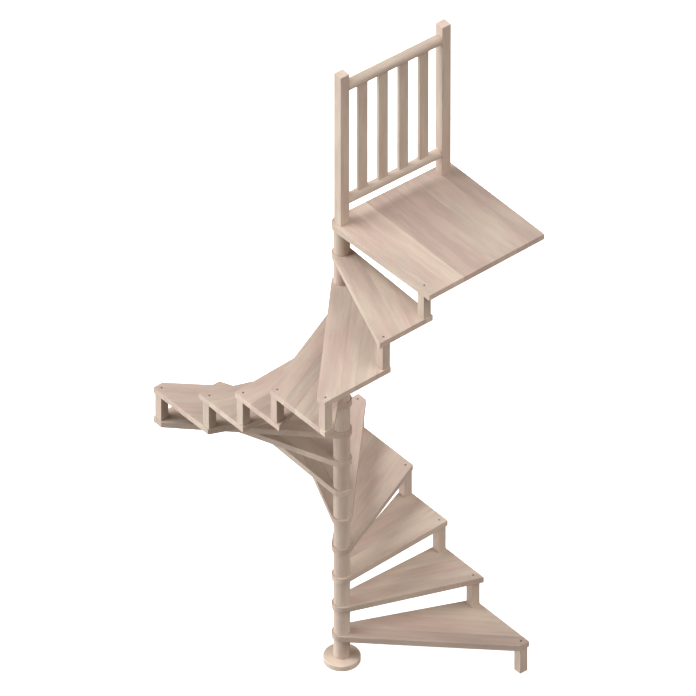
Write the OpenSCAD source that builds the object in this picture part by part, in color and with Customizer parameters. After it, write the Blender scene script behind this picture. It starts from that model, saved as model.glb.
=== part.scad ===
// Square-plan spiral staircase of solid wood.
// Winder treads are threaded on a central column of turned spacers. Square riser blocks carry
// each tread on the one below, along the outer edge. A landing with a short guard ends the climb.
// Units are millimetres. The origin is the foot of the column, +Z is up, and the climb turns
// counterclockwise seen from above, so that the landing's front edge points along +X.

/* [Climb] */
// Height from the top of one tread to the top of the next
rise = 200; // [160:1:240]
// Number of treads below the landing
tread_count = 14; // [6:1:15]
// Angle that the climb turns with each tread, in degrees
turn_per_tread = 22.5; // [18:0.5:27]

/* [Treads] */
// Side of the square that the treads are cut from
plan_side = 1400; // [1100:2:1800]
// Thickness of a tread and of the landing
tread_t = 36; // [28:1:50]
// Diameter of the round hub of a tread
hub_d = 108; // [90:1:160]
// Angle by which a tread's outer corner reaches past its share of the turn, in degrees
lap_angle = 2.7; // [1.5:0.1:4]

/* [Column] */
// Diameter of the turned spacers between the treads
spacer_d = 88; // [60:1:106]
// Diameter of the round foot under the column
foot_d = 200; // [150:1:300]
// Height of the foot
foot_h = 35; // [20:1:60]
// Radius of the foot's rounded top edge
foot_edge_r = 8; // [2:1:15]

/* [Riser blocks] */
// Side of a square riser block
block_side = 50; // [36:1:60]
// Distance that the riser blocks stand in from the sides of the square
block_inset = 6; // [0:1:12]
// Diameter of the screw recess above a riser block
recess_d = 12; // [8:1:20]
// Depth of the screw recess
recess_depth = 8; // [6:1:14]
// Gap around a screw head in its recess
screw_gap = 1; // [0.5:0.1:2]
// Height of a screw head
screw_head_h = 4; // [2:0.5:5]

/* [Landing] */
// Distance that the landing reaches past the square along X
landing_reach_x = 52; // [0:1:200]
// Distance that the landing reaches past the square along Y
landing_reach_y = 47; // [0:1:200]
// Angle by which the landing's far left corner reaches past +Y, in degrees
landing_side_lap = 2.1; // [1:0.1:4]

/* [Guard] */
// Height of the guard's posts above the landing
guard_h = 1000; // [800:10:1200]
// Side of a square guard post
post_side = 57; // [45:1:75]
// Distance from the outer post's centre to the landing's back edge
post_edge_gap = 78; // [40:1:120]
// Diameter of the top rail
top_rail_d = 61; // [45:1:80]
// Distance from the tops of the posts down to the top rail's axis
top_rail_drop = 94; // [50:1:200]
// Diameter of the bottom rail
bottom_rail_d = 57; // [45:1:80]
// Height of the bottom rail's axis above the landing
bottom_rail_z = 140; // [80:1:200]
// Number of balusters
baluster_count = 4; // [2:1:6]
// Thickness of a baluster
baluster_t = 21; // [14:1:30]
// Width of a baluster along the guard
baluster_w = 59; // [30:1:80]
// Depth of the mortise that a baluster's end fills in a rail
mortise_depth = 12; // [6:1:20]

/* [Hidden] */
wood = "burlywood";
steel = "silver";
smooth = 96;
half_side = plan_side / 2;
hub_r = hub_d / 2;
arc_steps = 32;
first_edge_angle = 360 - tread_count * turn_per_tread;
landing_x = half_side + landing_reach_x;
landing_y = half_side + landing_reach_y;
landing_top = (tread_count + 1) * rise;

function numbered(name, k) = str(name, k < 10 ? "_0" : "_", k);
treads = [for (k = [1 : tread_count]) numbered("tread", k)];
blocks = [for (k = [1 : tread_count + 1]) numbered("riser_block", k)];
guard = ["inner_guard_post", "outer_guard_post", "top_rail", "bottom_rail", "balusters"];

function polar(radius, angle) = [radius * cos(angle), radius * sin(angle)];

// Direction of the front edge of tread k; the landing counts as the tread after the last.
function edge_angle(k) = first_edge_angle + (k - 1) * turn_per_tread;

// Distance from the axis to the outline of a rectangle reaching x and y from it.
function reach(angle, x, y) = 1 / max(abs(cos(angle)) / x, abs(sin(angle)) / y);

// Angle between the line to an outer point and the line to where its edge touches the hub.
function tangent_turn(distance) = acos(hub_r / distance);

// Corners of that rectangle that lie between two directions.
function corners(front, rear, x, y) =
    let (slope = atan2(y, x))
    [
        for (turns = [0, 360], corner = [slope, 180 - slope, 180 + slope, 360 - slope])
            if (turns + corner > front && turns + corner < rear)
                polar(norm([x, y]), corner)
    ];

// Outline of a tread between two directions: straight edges run from its outer corners until
// they touch the hub, whose back is an arc.
function tread_outline(front, rear, x, y) =
    let (
        front_d = reach(front, x, y),
        rear_d = reach(rear, x, y),
        arc_start = rear + tangent_turn(rear_d),
        arc_end = front - tangent_turn(front_d) + 360
    )
    concat(
        [polar(front_d, front)],
        corners(front, rear, x, y),
        [polar(rear_d, rear)],
        [for (i = [0 : arc_steps]) polar(hub_r, arc_start + (arc_end - arc_start) * i / arc_steps)]
    );

// Middle of riser block k: on the edge line's direction, a little in from the square's side.
function block_centre(k) =
    let (path = half_side - block_inset - block_side / 2)
    polar(reach(edge_angle(k), path, path), edge_angle(k));

// The guard runs alongside the landing's left edge, so it leans from +Y by this much.
guard_turn =
    let (rear = 90 + landing_side_lap)
    90 - (rear + tangent_turn(reach(rear, landing_x, landing_y)) - 90);
post_spacing = (landing_y - post_edge_gap) / cos(guard_turn);
top_rail_z = guard_h - top_rail_drop;

// Board of a tread or the landing, with the recess for the screw that goes into its block.
module board(outline, k) {
    color(wood)
        translate([0, 0, k * rise - tread_t])
            difference() {
                linear_extrude(tread_t) polygon(outline);
                translate(concat(block_centre(k), tread_t - recess_depth))
                    cylinder(h = recess_depth + 1, d = recess_d, $fn = smooth);
            }
}

module column_foot() {
    foot_r = foot_d / 2;
    edge = [
        for (angle = [0 : 15 : 90])
            [foot_r - foot_edge_r, foot_h - foot_edge_r] + polar(foot_edge_r, angle)
    ];
    color(wood)
        rotate_extrude($fn = smooth)
            polygon(concat([[0, 0], [foot_r, 0]], edge, [[0, foot_h]]));
}

module column_spacers() {
    for (k = [1 : tread_count + 1]) {
        bottom = k == 1 ? foot_h : (k - 1) * rise;
        color(wood)
            translate([0, 0, bottom])
                cylinder(h = k * rise - tread_t - bottom, d = spacer_d, $fn = smooth);
    }
}

module tread(k) {
    front = edge_angle(k) - lap_angle;
    rear = edge_angle(k + 1) + lap_angle;
    board(tread_outline(front, rear, half_side, half_side), k);
}

module landing() {
    front = 360 - lap_angle;
    rear = 450 + landing_side_lap;
    board(tread_outline(front, rear, landing_x, landing_y), tread_count + 1);
}

module riser_block(k) {
    color(wood)
        translate(concat(block_centre(k) - [block_side, block_side] / 2, (k - 1) * rise))
            cube([block_side, block_side, rise - tread_t]);
}

// Heads of the screws that hold each board down on its riser block, at the recesses' bottoms.
module screw_heads() {
    for (k = [1 : tread_count + 1])
        color(steel)
            translate(concat(block_centre(k), k * rise - recess_depth))
                cylinder(h = screw_head_h, d = recess_d - 2 * screw_gap, $fn = smooth);
}

// Places a piece of the guard: origin on the landing at the column's axis, guard along +Y.
module on_guard_line(along) {
    color(wood)
        translate([0, 0, landing_top])
            rotate([0, 0, -guard_turn])
                translate([0, along, 0])
                    children();
}

module guard_post(along) {
    on_guard_line(along)
        translate([-post_side / 2, -post_side / 2, 0])
            cube([post_side, post_side, guard_h]);
}

module baluster(i) {
    bottom = bottom_rail_z + bottom_rail_d / 2 - mortise_depth;
    top = top_rail_z - top_rail_d / 2 + mortise_depth;
    on_guard_line(i * post_spacing / (baluster_count + 1))
        translate([-baluster_t / 2, -baluster_w / 2, bottom])
            cube([baluster_t, baluster_w, top - bottom]);
}

module balusters() {
    for (i = [1 : baluster_count])
        baluster(i);
}

// Round rail between the posts, with a mortise for the end of each baluster.
module rail(diameter, height) {
    difference() {
        on_guard_line(post_side / 2)
            translate([0, 0, height])
                rotate([-90, 0, 0])
                    cylinder(h = post_spacing - post_side, d = diameter, $fn = smooth);
        balusters();
    }
}

column_foot();
column_spacers();
for (k = [1 : tread_count])
    tread(k);
landing();
for (k = [1 : tread_count + 1])
    riser_block(k);
screw_heads();
guard_post(0);  // inner_guard_post
guard_post(post_spacing);  // outer_guard_post
rail(top_rail_d, top_rail_z);  // top_rail
rail(bottom_rail_d, bottom_rail_z);  // bottom_rail
balusters();
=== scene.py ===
"""Looks of a square-plan spiral staircase in unfinished beech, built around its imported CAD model."""

import math
import random

import bmesh
import bpy
from mathutils import Matrix, Vector


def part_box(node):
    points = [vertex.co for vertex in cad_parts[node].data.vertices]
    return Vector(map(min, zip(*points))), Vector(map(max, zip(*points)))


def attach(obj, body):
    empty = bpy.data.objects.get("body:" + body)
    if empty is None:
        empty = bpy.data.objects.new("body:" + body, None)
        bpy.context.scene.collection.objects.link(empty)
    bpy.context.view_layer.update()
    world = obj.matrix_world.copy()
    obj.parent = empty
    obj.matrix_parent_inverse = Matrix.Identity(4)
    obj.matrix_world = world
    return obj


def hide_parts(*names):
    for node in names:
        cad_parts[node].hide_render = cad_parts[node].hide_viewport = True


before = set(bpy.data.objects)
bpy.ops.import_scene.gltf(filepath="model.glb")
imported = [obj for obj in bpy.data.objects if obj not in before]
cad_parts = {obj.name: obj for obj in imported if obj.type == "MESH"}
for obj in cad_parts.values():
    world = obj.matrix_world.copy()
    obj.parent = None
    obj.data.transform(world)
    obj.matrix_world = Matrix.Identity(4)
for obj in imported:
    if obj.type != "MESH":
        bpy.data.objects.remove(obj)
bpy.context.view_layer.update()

MM = 0.001
UP = Vector((0, 0, 1))

# Real sizes of what the CAD leaves to the looks.
WELD = 0.01 * MM
FLAT_ANGLE = math.radians(0.5)
SHARP_ANGLE = math.radians(35)
BOARD_ARRIS = 0.9 * MM
POST_ARRIS = 1.2 * MM
BUTT_ARRIS = 0.6 * MM
RECESS_ARRIS = 0.5 * MM
RECESS_REACH = 8 * MM
JOINT_WIDTH = 0.8 * MM
JOINT_DEPTH = 1.0 * MM
STAVE_WIDTHS = (70 * MM, 130 * MM)
NARROWEST_STAVE = 28 * MM
ROUND_STEPS = 96
FOOT_EDGE = 8 * MM
SPACER_EDGE = 1 * MM
ARRIS_SEGMENTS = 3

# How close to parallel an edge is to a stick before it counts as one of its long edges.
LENGTHWAYS = 0.9
# A tread's front edge starts this near the column's axis.
NEAR_HUB = 100 * MM

# How staves are cut from their logs: how far along, and how far the pith lies from them.
LOG_LENGTH = (0, 9)
PITH_ACROSS = (15 * MM, 90 * MM)
PITH_BELOW = (25 * MM, 110 * MM)
EVEN_OUT = 0.8


def numbered(name):
    """The nodes called name_01, name_02 and so on, in order."""
    return sorted(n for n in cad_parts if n.startswith(name + "_") and n[-2:].isdigit())


def middle(node):
    """Middle of a CAD node's box."""
    low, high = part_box(node)
    return (low + high) / 2


treads = numbered("tread")
blocks = numbered("riser_block")
boards = treads + ["landing"]


# ---------------------------------------------------------------- shapes

def cad_shape(node):
    """A node's solids as a bmesh, with welded corners and whole flat faces."""
    shape = bmesh.new()
    shape.from_mesh(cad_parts[node].data)
    bmesh.ops.remove_doubles(shape, verts=shape.verts, dist=WELD)
    bmesh.ops.dissolve_limit(
        shape, angle_limit=FLAT_ANGLE, verts=shape.verts, edges=shape.edges
    )
    shape.normal_update()
    return shape


def is_arris(edge):
    """Whether an edge is an outward corner sharp enough to be eased."""
    return len(edge.link_faces) == 2 and edge.calc_face_angle_signed(0) > SHARP_ANGLE


def ease(shape, edges, radius):
    """Rounds these edges off, as sanding does."""
    bmesh.ops.bevel(
        shape,
        geom=list(edges),
        offset=radius,
        segments=ARRIS_SEGMENTS,
        profile=0.5,
        affect="EDGES",
        clamp_overlap=True,
    )
    shape.normal_update()


def lathe(profile, centre, axis=UP, steps=ROUND_STEPS):
    """A closed round solid. profile runs from end to end as (radius, distance along axis)."""
    shape = bmesh.new()
    turn = axis.to_track_quat("Z", "Y").to_matrix()
    rings = []
    for radius, along in profile:
        ring = []
        for step in range(steps):
            angle = 2 * math.pi * step / steps
            reach = radius(angle) if callable(radius) else radius
            spot = Vector((reach * math.cos(angle), reach * math.sin(angle), along))
            ring.append(shape.verts.new(centre + turn @ spot))
        rings.append(ring)
    for low, high in zip(rings, rings[1:]):
        for step in range(steps):
            after = (step + 1) % steps
            shape.faces.new((low[step], low[after], high[after], high[step]))
    shape.faces.new(rings[0][::-1])
    shape.faces.new(rings[-1])
    shape.normal_update()
    return shape


def eased_profile(radius, bottom, top, low_edge, high_edge, arc=4):
    """Profile of a cylinder whose two rims are rounded."""
    quarter = [math.pi / 2 * i / arc for i in range(arc + 1)]
    low = [
        (radius - low_edge + low_edge * math.sin(a), bottom + low_edge - low_edge * math.cos(a))
        for a in quarter
    ]
    high = [
        (radius - high_edge + high_edge * math.cos(a), top - high_edge + high_edge * math.sin(a))
        for a in quarter
    ]
    return low + high


# ---------------------------------------------------------------- grain

def draw_tones(draw, count):
    """A lightness and a warmth for each stave, from -1 to 1, which together leave a board even."""
    tones = [Vector((draw.uniform(-1, 1), draw.uniform(-1, 1))) for _ in range(count)]
    share = sum(tones, Vector((0, 0))) / count
    return [tone - share * EVEN_OUT for tone in tones]


def lay_grain(shape, along, across, draw, joints=(), tones=None):
    """Writes each corner's place in its stave's log, each face's colour, and how far it looks along
    the grain, which beech() paints as light.

    along and across are the directions of the grain and of the row of staves. joints are the
    distances across at which one stave ends and the next begins.
    """
    turn = Matrix((along, across, along.cross(across)))
    count = len(joints) + 1
    tones = tones or draw_tones(draw, count)
    shifts = [
        Vector((draw.uniform(*LOG_LENGTH), draw.choice((-1, 1)) * draw.uniform(*PITH_ACROSS),
                draw.uniform(*PITH_BELOW)))
        for _ in range(count)
    ]
    grain = shape.loops.layers.float_vector.new("grain")
    tone = shape.faces.layers.float_vector.new("tone")
    for face in shape.faces:
        place = across.dot(face.calc_center_median())
        stave = sum(place > joint for joint in joints)
        # Painted light: the more a face looks along the grain, the lighter beech() makes it.
        end = abs(face.normal.dot(along)) ** 2
        face[tone] = Vector((*tones[stave], end))
        for loop in face.loops:
            loop[grain] = turn @ loop.vert.co + shifts[stave]
        face.smooth = True


def cut_joint(shape, across, place):
    """Cuts the fine V that shows where two glued staves meet, all round the board."""
    for side in (-1, 0, 1):
        bmesh.ops.bisect_plane(
            shape,
            geom=shape.verts[:] + shape.edges[:] + shape.faces[:],
            dist=WELD,
            plane_co=across * (place + side * JOINT_WIDTH),
            plane_no=across,
        )
    shape.normal_update()
    bottom = [v for v in shape.verts if abs(across.dot(v.co) - place) < WELD]
    moves = [(v, v.normal * JOINT_DEPTH) for v in bottom]
    for vert, move in moves:
        vert.co -= move
    shape.normal_update()


def piece(name, shapes, node, material):
    """One visible object out of these shapes, standing for a CAD node."""
    mesh = bpy.data.meshes.new(name)
    whole = bmesh.new()
    for shape in shapes:
        part = bpy.data.meshes.new("part")
        shape.to_mesh(part)
        shape.free()
        whole.from_mesh(part)
        bpy.data.meshes.remove(part)
    for edge in whole.edges:
        edge.smooth = not (len(edge.link_faces) == 2 and edge.calc_face_angle(0) > SHARP_ANGLE)
    whole.to_mesh(mesh)
    whole.free()
    made = bpy.data.objects.new(name, mesh)
    bpy.context.scene.collection.objects.link(made)
    mesh.materials.append(material)
    normals = made.modifiers.new("even_normals", "WEIGHTED_NORMAL")
    normals.weight = 50
    normals.keep_sharp = True
    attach(made, "root")
    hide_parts(node)
    return made


# ---------------------------------------------------------------- materials

class Nodes:
    """A material's node tree, with short calls for the nodes used here."""

    def __init__(self, name):
        self.material = bpy.data.materials.new(name)
        self.material.use_nodes = True
        self.tree = self.material.node_tree
        self.shader = self.tree.nodes["Principled BSDF"]

    def node(self, kind, inputs=None, **settings):
        """A new node. inputs maps a socket's name or number to a value or to another socket."""
        made = self.tree.nodes.new(kind)
        for name, value in settings.items():
            setattr(made, name, value)
        for key, value in (inputs or {}).items():
            if isinstance(value, bpy.types.NodeSocket):
                self.tree.links.new(value, made.inputs[key])
            else:
                made.inputs[key].default_value = value
        return made

    def attribute(self, name):
        return self.node("ShaderNodeAttribute", attribute_name=name).outputs["Vector"]

    def scaled(self, vector, factors):
        made = self.node("ShaderNodeVectorMath", {0: vector, 1: factors}, operation="MULTIPLY")
        return made.outputs[0]

    def noise(self, vector, detail=2.0, roughness=0.5):
        return self.node(
            "ShaderNodeTexNoise",
            {"Vector": vector, "Scale": 1.0, "Detail": detail, "Roughness": roughness},
        )

    def math(self, operation, a, b=0.0, c=0.0):
        made = self.node("ShaderNodeMath", {0: a, 1: b, 2: c}, operation=operation)
        return made.outputs[0]

    def mapped(self, value, low, high, to_low, to_high):
        inputs = {0: value, 1: low, 2: high, 3: to_low, 4: to_high}
        return self.node("ShaderNodeMapRange", inputs).outputs[0]

    def mixed(self, factor, a, b, blend="MIX"):
        made = self.node("ShaderNodeMix", data_type="RGBA", blend_type=blend)
        for key, value in ((0, factor), (6, a), (7, b)):
            if isinstance(value, bpy.types.NodeSocket):
                self.tree.links.new(value, made.inputs[key])
            else:
                made.inputs[key].default_value = value
        return made.outputs[2]

    def link(self, output, name):
        self.tree.links.new(output, self.shader.inputs[name])


def rgb(red, green, blue):
    return (red, green, blue, 1.0)


CREAM = rgb(0.650, 0.540, 0.448)
PINK = rgb(0.610, 0.470, 0.405)
FLECK = rgb(0.300, 0.190, 0.130)
RING_SPACING = 3.4 * MM
# Blender's ring wave runs through this many units of phase in each unit of scaled distance.
WAVE_TURN = 20.0

# Cells per metre of each figure: along the grain, then twice across it.
WANDER_CELLS = (1.1, 7.0, 7.0)
STREAK_CELLS = (1.6, 48.0, 48.0)
FLAME_CELLS = (2.6, 17.0, 17.0)
CLOUD_CELLS = (2.0, 9.0, 9.0)
FIBRE_CELLS = (40.0, 1300.0, 1300.0)
FLECK_CELLS = (240.0, 1500.0, 1500.0)
# How far the rings wander from straight, in metres.
WANDER_REACH = (0.0, 0.045, 0.045)

# How much each figure lightens or darkens the wood, as a share of it.
TONE_DEPTH = 0.085
STREAK_DEPTH = 0.03
FLAME_DEPTH = 0.05
RING_DEPTH = 0.010
FIBRE_DEPTH = 0.03
# Painted light: faces that look along the grain, such as board ends and edges, are lightened by this
# share.
END_FACE_PAINTED_LIGHT = 0.16
# How far a stave's warmth and the clouds move the colour from cream to pink.
TONE_WARMTH = 0.38
CLOUD_WARMTH = 0.45
FLECK_SHARE = 0.35


def beech(name, lighter=0.0, warmer=0.0):
    """Unfinished planed beech. It reads the grain and tone that lay_grain() writes."""
    wood = Nodes(name)
    grain = wood.attribute("grain")
    tone = wood.node("ShaderNodeSeparateXYZ", {0: wood.attribute("tone")}).outputs
    wander = wood.noise(wood.scaled(grain, WANDER_CELLS), detail=3.0)
    drift = wood.node(
        "ShaderNodeVectorMath", {0: wander.outputs["Color"], 1: (0.5, 0.5, 0.5)},
        operation="SUBTRACT",
    )
    bent = wood.node(
        "ShaderNodeVectorMath",
        {0: grain, 1: wood.scaled(drift.outputs[0], WANDER_REACH)},
        operation="ADD",
    ).outputs[0]
    rings = wood.node(
        "ShaderNodeTexWave",
        {"Vector": bent, "Scale": 2 * math.pi / (WAVE_TURN * RING_SPACING), "Distortion": 0.0},
        wave_type="RINGS", rings_direction="X", wave_profile="SIN",
    ).outputs["Fac"]
    streaks = wood.noise(wood.scaled(bent, STREAK_CELLS), detail=3.0).outputs["Fac"]
    fibres = wood.noise(wood.scaled(grain, FIBRE_CELLS)).outputs["Fac"]
    clouds = wood.noise(wood.scaled(bent, CLOUD_CELLS), detail=2.0).outputs["Fac"]
    flames = wood.noise(
        wood.scaled(bent, FLAME_CELLS), detail=7.0, roughness=0.62,
    ).outputs["Fac"]
    dashes = wood.noise(wood.scaled(grain, FLECK_CELLS), detail=1.0).outputs["Fac"]
    flecks = wood.mapped(dashes, 0.66, 0.72, 0.0, 1.0)

    warmth = wood.math("MULTIPLY_ADD", tone[1], TONE_WARMTH, 0.5 + warmer)
    warmth = wood.math("ADD", warmth, wood.mapped(clouds, 0.4, 0.6, -CLOUD_WARMTH, CLOUD_WARMTH))
    body = wood.mixed(wood.mapped(warmth, 0.0, 1.0, 0.0, 1.0), CREAM, PINK)
    body = wood.mixed(wood.math("MULTIPLY", flecks, FLECK_SHARE), body, FLECK)
    value = wood.math("MULTIPLY_ADD", tone[0], TONE_DEPTH, 1.0 + lighter)
    value = wood.math("ADD", value, wood.mapped(streaks, 0.3, 0.7, -STREAK_DEPTH, STREAK_DEPTH))
    value = wood.math("ADD", value, wood.mapped(flames, 0.44, 0.56, -FLAME_DEPTH, FLAME_DEPTH))
    value = wood.math("ADD", value, wood.mapped(rings, 0.0, 1.0, -RING_DEPTH, RING_DEPTH))
    value = wood.math("ADD", value, wood.mapped(fibres, 0.3, 0.7, -FIBRE_DEPTH, FIBRE_DEPTH))
    # Painted light on faces that look along the grain.
    value = wood.math("MULTIPLY_ADD", tone[2], END_FACE_PAINTED_LIGHT, value)
    shade = wood.node("ShaderNodeCombineXYZ", {0: value, 1: value, 2: value}).outputs[0]
    wood.link(wood.mixed(1.0, body, shade, "MULTIPLY"), "Base Color")

    wood.link(wood.mapped(fibres, 0.3, 0.7, 0.50, 0.66), "Roughness")
    relief = wood.math("MULTIPLY_ADD", rings, 0.35, fibres)
    relief = wood.math("SUBTRACT", relief, flecks)
    bump = wood.node("ShaderNodeBump", {"Strength": 0.35, "Distance": 0.15 * MM, "Height": relief})
    wood.link(bump.outputs[0], "Normal")
    wood.shader.inputs["Specular IOR Level"].default_value = 0.35
    return wood.material


def painted_shade_steel(name):
    """Zinc-plated steel of the screw heads, with painted shade: its colour is darkened and browned to
    carry the shade of their recesses.
    """
    steel = Nodes(name)
    spot = steel.node("ShaderNodeTexCoord").outputs["Object"]
    blotches = steel.noise(steel.scaled(spot, (260.0, 260.0, 260.0)), detail=4.0).outputs["Fac"]
    marks = steel.noise(steel.scaled(spot, (2600.0, 300.0, 900.0))).outputs["Fac"]
    # Painted shade: both colours are far darker and browner than bare steel, standing in for the shade
    # in the recesses.
    body = steel.mixed(steel.mapped(blotches, 0.3, 0.7, 0.0, 1.0),
                       rgb(0.10, 0.08, 0.065), rgb(0.20, 0.165, 0.135))
    steel.link(body, "Base Color")
    steel.link(steel.mapped(marks, 0.3, 0.7, 0.34, 0.52), "Roughness")
    bump = steel.node("ShaderNodeBump", {"Strength": 0.3, "Distance": 0.05 * MM, "Height": marks})
    steel.link(bump.outputs[0], "Normal")
    steel.shader.inputs["Metallic"].default_value = 1.0
    return steel.material


board_wood = beech("beech_boards")
square_wood = beech("beech_squares", lighter=0.02, warmer=-0.25)
turned_wood = beech("beech_turned", lighter=0.11)
screw_steel = painted_shade_steel("screw_steel")


# ---------------------------------------------------------------- boards

def long_edges(shape, height):
    """The straight edges at this height, the longest first."""
    found = [e for e in shape.edges if all(abs(v.co.z - height) < WELD for v in e.verts)]
    return sorted(found, key=lambda e: -e.calc_length())


def front_direction(shape, height):
    """Direction of a tread's front edge, away from the column."""
    middle_of_board = sum((v.co for v in shape.verts), Vector()) / len(shape.verts)
    for edge in long_edges(shape, height):
        ends = sorted((v.co for v in edge.verts), key=lambda co: co.xy.length)
        out = (ends[1] - ends[0]).normalized()
        if out.cross(middle_of_board - ends[0]).z > 0 and ends[0].xy.length < NEAR_HUB:
            return out
    raise ValueError("no front edge")


def stave_joints(across, shape, keep_clear, draw):
    """Where the staves of a tread meet, at irregular widths and away from its screw."""
    places = [across.dot(v.co) for v in shape.verts]
    joints = []
    place = min(places) + draw.uniform(*STAVE_WIDTHS)
    while place < max(places) - NARROWEST_STAVE:
        if abs(place - keep_clear) < 2 * RECESS_REACH:
            place = keep_clear + 2 * RECESS_REACH
        joints.append(place)
        place += draw.uniform(*STAVE_WIDTHS)
    return joints


def board(node, block, joints=None, along=None, tones=None):
    """A board of glued staves with eased arrises and the recess above its riser block."""
    draw = random.Random(node)
    shape = cad_shape(node)
    low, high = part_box(node)
    along = along or front_direction(shape, low.z)
    across = UP.cross(along)
    screw = middle(block)
    joints = joints or stave_joints(across, shape, across.dot(screw), draw)

    def by_screw(edge):
        return all((v.co - screw).xy.length < RECESS_REACH for v in edge.verts)

    ease(shape, [e for e in shape.edges if is_arris(e) and not by_screw(e)], BOARD_ARRIS)
    ease(shape, [e for e in shape.edges if is_arris(e) and by_screw(e)
                 and all(abs(v.co.z - high.z) < WELD for v in e.verts)], RECESS_ARRIS)
    for joint in joints:
        cut_joint(shape, across, joint)
    lay_grain(shape, along, across, draw, joints, tones)
    return piece("board_" + node, [shape], node, board_wood)


for tread, block in zip(treads, blocks):
    board(tread, block)

# The landing's staves run along X. These are the joints between them, along Y, and the
# lightness and warmth of each stave in the same order.
LANDING_JOINTS = [place * MM for place in (15, 95, 200, 380, 495, 645)]
LANDING_TONES = [
    (-0.5, -0.3), (-0.4, 0.3), (0.7, -0.8), (-1.2, 1.1), (-0.9, 0.5), (-0.9, 0.1), (-1.6, 0.0),
]
board(
    "landing", blocks[-1], along=Vector((1, 0, 0)),
    joints=LANDING_JOINTS,
    tones=[Vector(tone) for tone in LANDING_TONES],
)


# ---------------------------------------------------------------- posts, blocks, slats and rails

def square_stick(shape, draw, along=UP):
    """Eases a square piece's long edges, barely breaks those at its ends, and lays its grain."""
    lengthways = [
        e for e in shape.edges
        if abs((e.verts[0].co - e.verts[1].co).normalized().dot(along)) > LENGTHWAYS
    ]
    across = along.orthogonal().normalized()
    across.rotate(Matrix.Rotation(draw.uniform(0, 2 * math.pi), 3, along))
    ease(shape, lengthways, POST_ARRIS)
    ease(shape, [e for e in shape.edges if is_arris(e)], BUTT_ARRIS)
    lay_grain(shape, along, across, draw)


def solids(shape):
    """Splits a bmesh into its separate solids."""
    left = set(shape.verts)
    found = []
    while left:
        start = left.pop()
        group, edge_of_group = {start}, [start]
        while edge_of_group:
            vert = edge_of_group.pop()
            for edge in vert.link_edges:
                other = edge.other_vert(vert)
                if other not in group:
                    group.add(other)
                    edge_of_group.append(other)
        left -= group
        copy = bmesh.new()
        twin = {v: copy.verts.new(v.co) for v in sorted(group, key=lambda v: v.index)}
        for face in shape.faces:
            if face.verts[0] in group:
                copy.faces.new([twin[v] for v in face.verts])
        copy.normal_update()
        found.append(copy)
    shape.free()
    return sorted(found, key=lambda s: min(v.co.y for v in s.verts))


for block in blocks:
    draw = random.Random(block)
    shape = cad_shape(block)
    square_stick(shape, draw)
    piece("stick_" + block, [shape], block, square_wood)

for post in ("inner_guard_post", "outer_guard_post"):
    draw = random.Random(post)
    shape = cad_shape(post)
    square_stick(shape, draw)
    piece("stick_" + post, [shape], post, square_wood)

draw = random.Random("balusters")
slats = solids(cad_shape("balusters"))
for shape in slats:
    square_stick(shape, draw)
piece("slats", slats, "balusters", square_wood)

guard_line = (middle("outer_guard_post") - middle("inner_guard_post")).normalized()
for rail in ("top_rail", "bottom_rail"):
    draw = random.Random(rail)
    shape = cad_shape(rail)
    lay_grain(shape, guard_line, UP, draw)
    piece("round_" + rail, [shape], rail, square_wood)


# ---------------------------------------------------------------- column

FOOT_TONE = Vector((0.4, -0.1))

axis = Vector((0, 0, 0))
foot_low, foot_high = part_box("column_foot")
draw = random.Random("foot")
foot = lathe(
    eased_profile(foot_high.x, foot_low.z, foot_high.z, BOARD_ARRIS, FOOT_EDGE, arc=8), axis
)
lay_grain(foot, Vector((1, 0, 0)), Vector((0, 1, 0)), draw, tones=[FOOT_TONE])
piece("foot_disc", [foot], "column_foot", turned_wood)

spacer_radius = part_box("column_spacers")[1].x
spacers = []
draw = random.Random("spacers")
bottom = foot_high.z
for node in boards:
    low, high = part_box(node)
    shape = lathe(eased_profile(spacer_radius, bottom, low.z, SPACER_EDGE, SPACER_EDGE), axis)
    angle = draw.uniform(0, 2 * math.pi)
    lay_grain(shape, UP, Vector((math.cos(angle), math.sin(angle), 0)), draw)
    spacers.append(shape)
    bottom = high.z
piece("turned_spacers", spacers, "column_spacers", turned_wood)


# ---------------------------------------------------------------- screws

SCREW_DOME = 0.8 * MM
SCREW_EDGE = 0.2 * MM
SOCKET_REACH = 0.42
SOCKET_DEPTH = 2 * MM
SOCKET_RIM = 0.1 * MM
CROWN_STEPS = 6
HEAD_STEPS = 36


def hexagon(reach):
    """Radius of a hexagon's outline at an angle, for lathe()."""
    side = math.pi / 3
    return lambda angle: reach * math.cos(side / 2) / math.cos(angle % side - side / 2)


def screw_head(centre, radius, bottom, top):
    """A low-domed screw head with a hexagonal socket."""
    socket = radius * SOCKET_REACH
    profile = [
        (radius * 0.98, bottom), (radius, bottom + SCREW_EDGE), (radius, top - SCREW_DOME),
    ]
    for i in range(1, CROWN_STEPS + 1):
        reach = radius + (socket * 1.12 - radius) * i / CROWN_STEPS
        rise = SCREW_DOME * (1 - ((CROWN_STEPS - i) / CROWN_STEPS) ** 2)
        profile.append((reach, top - SCREW_DOME + rise))
    profile.append((hexagon(socket), top - SOCKET_RIM))
    profile.append((hexagon(socket), top - SOCKET_DEPTH))
    return lathe(profile, centre, steps=HEAD_STEPS)


screw_low, screw_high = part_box("screw_heads")
first_screw = middle(blocks[0])
screw_radius = screw_high.x - first_screw.x
top_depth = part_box(boards[-1])[1].z - screw_high.z
head_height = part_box(boards[0])[1].z - screw_low.z - top_depth
heads = []
for block, node in zip(blocks, boards):
    spot = middle(block)
    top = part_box(node)[1].z - top_depth
    centre = Vector((spot.x, spot.y, 0))
    heads.append(screw_head(centre, screw_radius, top - head_height, top))
for shape in heads:
    for face in shape.faces:
        face.smooth = True
piece("socket_screws", heads, "screw_heads", screw_steel)


# ---------------------------------------------------------------- camera, floor and light

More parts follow.
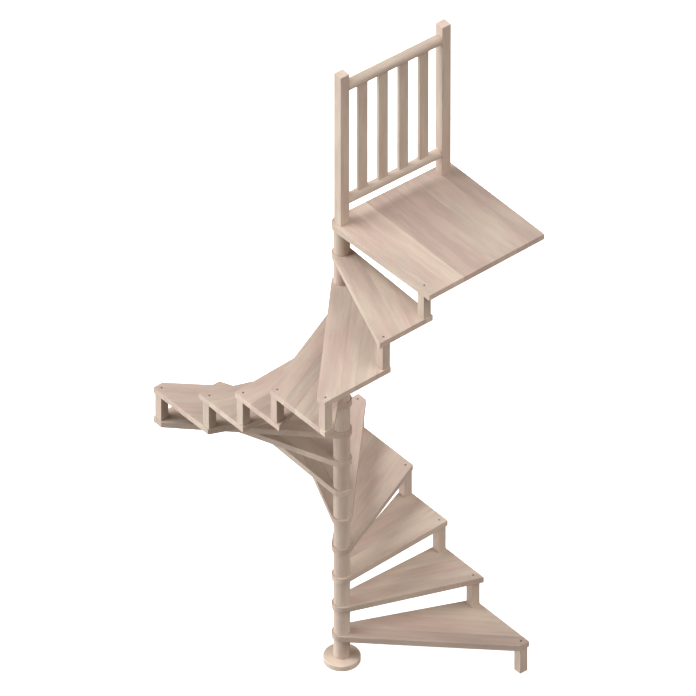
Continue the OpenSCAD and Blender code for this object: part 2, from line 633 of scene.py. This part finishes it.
AZIMUTH = math.radians(50.08)
ELEVATION = math.radians(40.06)
VIEW_WIDTH = 3.665
NEAREST_SEEN = 1.0
FARTHEST_SEEN = 400.0
LENS = 1700.0
SENSOR = 36.0
# Point that the camera looks at: this far right of the origin and this far above it in the view.
AIM_RIGHT = 0.0327
AIM_ABOVE = 1.6393

right = Vector((math.cos(AZIMUTH), math.sin(AZIMUTH), 0))
back = Vector((
    math.sin(AZIMUTH) * math.cos(ELEVATION),
    -math.cos(AZIMUTH) * math.cos(ELEVATION),
    math.sin(ELEVATION),
))
above = back.cross(right)
target = right * AIM_RIGHT + above * AIM_ABOVE
camera = bpy.data.objects.new("camera", bpy.data.cameras.new("camera"))
camera.data.sensor_width = SENSOR
camera.data.lens = LENS
camera.data.clip_start = NEAREST_SEEN
camera.data.clip_end = FARTHEST_SEEN
camera.location = target + back * (VIEW_WIDTH * LENS / SENSOR)
camera.rotation_euler = (-back).to_track_quat("-Z", "Y").to_euler()
bpy.context.scene.collection.objects.link(camera)
bpy.context.scene.camera = camera

FLOOR_REACH = 40.0
# The floor gives off light of its own, so that no shadow shows on it.
FLOOR_GLOW = 0.9
FLOOR_ROUGHNESS = 0.9
floor_mesh = bpy.data.meshes.new("floor")
corners = [(-1, -1), (1, -1), (1, 1), (-1, 1)]
floor_mesh.from_pydata(
    [(x * FLOOR_REACH, y * FLOOR_REACH, 0) for x, y in corners], [], [(0, 1, 2, 3)]
)
floor = bpy.data.objects.new("floor", floor_mesh)
bpy.context.scene.collection.objects.link(floor)
paper = Nodes("pale_floor")
speckle = paper.noise(paper.node("ShaderNodeTexCoord").outputs["Object"]).outputs["Fac"]
paper.link(paper.mixed(speckle, rgb(0.93, 0.93, 0.93), rgb(0.95, 0.95, 0.95)), "Base Color")
paper.shader.inputs["Roughness"].default_value = FLOOR_ROUGHNESS
paper.shader.inputs["Emission Color"].default_value = rgb(1, 1, 1)
paper.shader.inputs["Emission Strength"].default_value = FLOOR_GLOW
floor_mesh.materials.append(paper.material)
floor.visible_diffuse = False
floor.visible_glossy = False
floor.visible_shadow = False

SKY = 0.07
GROUND = 0.31
GROUND_TINT = rgb(1.0, 0.90, 0.80)
# The light from below fades into that from above between these heights of direction.
FADE = 0.35
world = bpy.data.worlds.new("studio")
bpy.context.scene.world = world
world.use_nodes = True
tree = world.node_tree
tree.nodes.clear()
direction = tree.nodes.new("ShaderNodeTexCoord")
split = tree.nodes.new("ShaderNodeSeparateXYZ")
tree.links.new(direction.outputs["Generated"], split.inputs[0])
height = tree.nodes.new("ShaderNodeMapRange")
tree.links.new(split.outputs[2], height.inputs[0])
for socket, value in ((1, -FADE), (2, FADE), (3, GROUND), (4, SKY)):
    height.inputs[socket].default_value = value
glow = tree.nodes.new("ShaderNodeBackground")
glow.inputs["Color"].default_value = GROUND_TINT
tree.links.new(height.outputs[0], glow.inputs["Strength"])
backdrop = tree.nodes.new("ShaderNodeBackground")
backdrop.inputs["Strength"].default_value = 1.0
backdrop.inputs["Color"].default_value = rgb(1, 1, 1)
rays = tree.nodes.new("ShaderNodeLightPath")
either = tree.nodes.new("ShaderNodeMixShader")
tree.links.new(rays.outputs["Is Camera Ray"], either.inputs[0])
tree.links.new(glow.outputs[0], either.inputs[1])
tree.links.new(backdrop.outputs[0], either.inputs[2])
out = tree.nodes.new("ShaderNodeOutputWorld")
tree.links.new(either.outputs[0], out.inputs["Surface"])


def sun(name, toward, strength, spread, tint):
    """A soft distant light from the direction toward. strength is what it adds to white paper."""
    lamp = bpy.data.lights.new(name, "SUN")
    lamp.energy = strength * math.pi
    lamp.angle = math.radians(spread)
    lamp.color = tint
    made = bpy.data.objects.new(name, lamp)
    made.rotation_euler = Vector(toward).to_track_quat("Z", "Y").to_euler()
    bpy.context.scene.collection.objects.link(made)


sun("key_light", (-0.28, -0.40, 0.87), 0.45, 25, (1.0, 1.0, 1.0))
sun("front_light", (-0.63, -0.76, 0.17), 0.93, 90, (0.97, 1.0, 1.0))
sun("back_light", (0.60, 0.25, 0.76), 0.56, 60, (1.0, 0.97, 0.94))

settings = bpy.context.scene.view_settings
settings.view_transform = "Standard"
